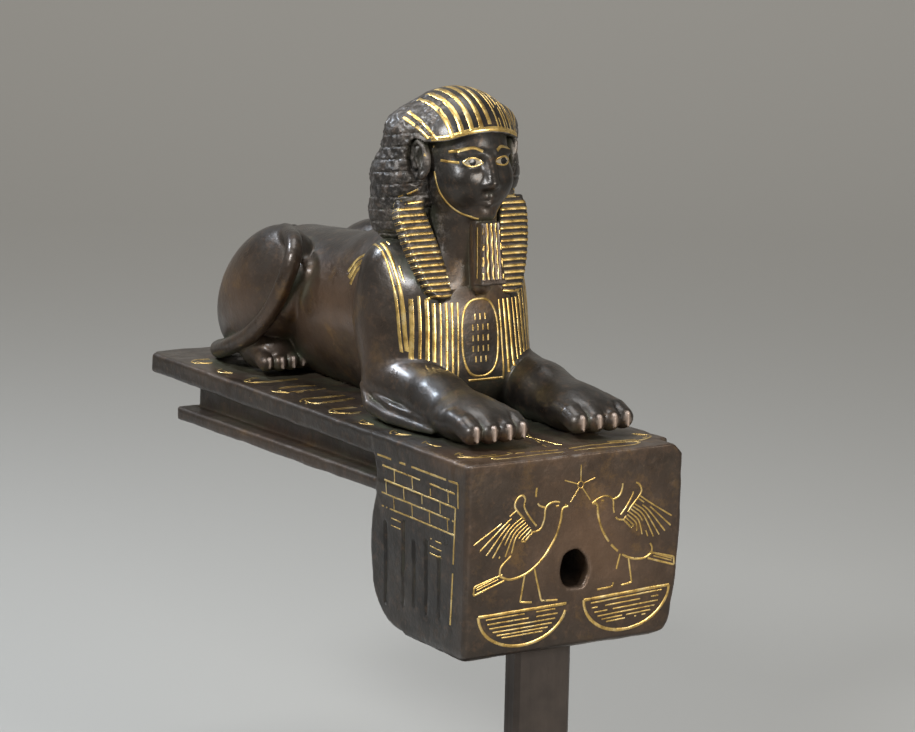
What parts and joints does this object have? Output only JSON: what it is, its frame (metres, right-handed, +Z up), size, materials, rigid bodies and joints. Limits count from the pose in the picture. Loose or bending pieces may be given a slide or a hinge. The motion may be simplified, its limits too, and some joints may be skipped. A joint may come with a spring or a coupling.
{
  "type": "inlaid bronze sphinx statue on its plinth",
  "caption": "Lying sphinx with a human head in a striped headcloth, cast with a plinth that has a tall front block, carried by a flat post on a foot plate.",
  "frame": {"origin": "on the ground, under the middle of the plinth's length and width", "axes": "+Z up, the sphinx looks along -Y, +X is its left-hand side"},
  "size_m": [0.08, 0.21, 0.2563],
  "materials": {
    "patinated_bronze": "dark brown-black patina, half gloss, worn brighter on edges and paws",
    "gold_inlay": "thin gold wire and leaf set flush, worn",
    "post_metal": "brown-grey satin bar"
  },
  "bodies": {
    "root": {"sphinx_on_plinth": "patinated_bronze", "display_post": "post_metal", "display_foot": "post_metal"}
  },
  "joints": []
}
